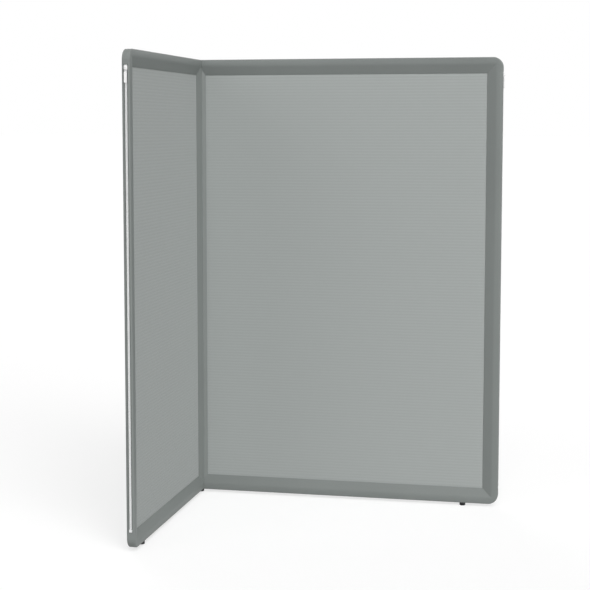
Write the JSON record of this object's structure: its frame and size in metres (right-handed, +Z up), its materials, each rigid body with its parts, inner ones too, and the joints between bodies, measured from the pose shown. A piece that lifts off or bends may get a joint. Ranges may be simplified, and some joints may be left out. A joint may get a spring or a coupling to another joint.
{
  "type": "office partition",
  "caption": "Free-standing L-shaped office partition: framed mesh screens on a pivot corner, white link zips on the free edges, round feet.",
  "frame": {"origin": "on the floor, at the centre of the corner foot's bottom face, on the pivot axis", "axes": "+Z up, +X along the main leaf towards its free end, -Y along the wing towards its free end"},
  "size_m": [1.0172, 0.7672, 1.45],
  "materials": {
    "grey_coated_aluminium": "satin powder coat",
    "grey_coated_casting": "satin powder coat",
    "grey_mesh": "fine woven mesh",
    "core_board": "matt board",
    "zip_tape": "woven tape",
    "zip_white": "moulded",
    "slider_white": "gloss enamel",
    "black_foot": "moulded, fine grain",
    "grey_cap": "moulded",
    "zinc_steel": "zinc plated"
  },
  "bodies": {
    "main_leaf": {"main_free_stile": "grey_coated_aluminium", "main_hinge_stile": "grey_coated_aluminium", "main_top_rail": "grey_coated_aluminium", "main_bottom_rail": "grey_coated_aluminium", "main_top_corner": "grey_coated_casting", "main_bottom_corner": "grey_coated_casting", "main_top_hinge_block": "grey_coated_casting", "main_bottom_hinge_block": "grey_coated_casting", "main_core": "core_board", "main_front_mesh": "grey_mesh", "main_back_mesh": "grey_mesh", "main_zip_tapes": "zip_tape", "main_zip_teeth": "zip_white", "main_zip_top_stops": "zip_white", "main_zip_bottom_box": "zip_white", "main_foot_insert": "zinc_steel", "pivot_pin": "zinc_steel", "pivot_washers": "grey_cap", "corner_foot_insert": "zinc_steel"},
    "wing_leaf": {"wing_free_stile": "grey_coated_aluminium", "wing_hinge_stile": "grey_coated_aluminium", "wing_top_rail": "grey_coated_aluminium", "wing_bottom_rail": "grey_coated_aluminium", "wing_top_corner": "grey_coated_casting", "wing_bottom_corner": "grey_coated_casting", "wing_top_hinge_block": "grey_coated_casting", "wing_bottom_hinge_block": "grey_coated_casting", "wing_core": "core_board", "wing_front_mesh": "grey_mesh", "wing_back_mesh": "grey_mesh", "wing_zip_tapes": "zip_tape", "wing_zip_teeth": "zip_white", "wing_zip_top_stops": "zip_white", "wing_zip_bottom_box": "zip_white", "wing_foot_insert": "zinc_steel", "pivot_cap": "grey_cap"},
    "main_zip_slider": {"main_zip_slider": "slider_white"},
    "wing_zip_slider": {"wing_zip_slider": "slider_white"},
    "main_zip_puller": {"main_zip_puller": "slider_white"},
    "wing_zip_puller": {"wing_zip_puller": "slider_white"},
    "main_foot": {"main_foot_stud": "zinc_steel", "main_foot_pad": "black_foot"},
    "wing_foot": {"wing_foot_stud": "zinc_steel", "wing_foot_pad": "black_foot"},
    "corner_foot": {"corner_foot_stud": "zinc_steel", "corner_foot_pad": "black_foot"}
  },
  "joints": [
    {"name": "wing_fold", "type": "hinge", "parent": "main_leaf", "child": "wing_leaf", "pos_m": [0, 0, 0.01], "axis": [0, 0, -1], "range_deg": [0, 180]},
    {"name": "main_zip", "type": "slide", "parent": "main_leaf", "child": "main_zip_slider", "axis": [0, 0, -1], "range_m": [0, 1.319]},
    {"name": "wing_zip", "type": "slide", "parent": "wing_leaf", "child": "wing_zip_slider", "axis": [0, 0, -1], "range_m": [0, 1.319]},
    {"name": "main_puller_swing", "type": "hinge", "parent": "main_zip_slider", "child": "main_zip_puller", "pos_m": [1.0029, 0, 1.393], "axis": [0, -1, 0], "range_deg": [0, 170]},
    {"name": "wing_puller_swing", "type": "hinge", "parent": "wing_zip_slider", "child": "wing_zip_puller", "pos_m": [0, -0.7529, 1.393], "axis": [-1, 0, 0], "range_deg": [0, 170]},
    {"name": "main_foot_screw", "type": "slide", "parent": "main_leaf", "child": "main_foot", "axis": [0, 0, -1], "range_m": [0, 0.012]},
    {"name": "wing_foot_screw", "type": "slide", "parent": "wing_leaf", "child": "wing_foot", "axis": [0, 0, -1], "range_m": [0, 0.012]},
    {"name": "corner_foot_screw", "type": "slide", "parent": "main_leaf", "child": "corner_foot", "axis": [0, 0, -1], "range_m": [0, 0.012]}
  ]
}
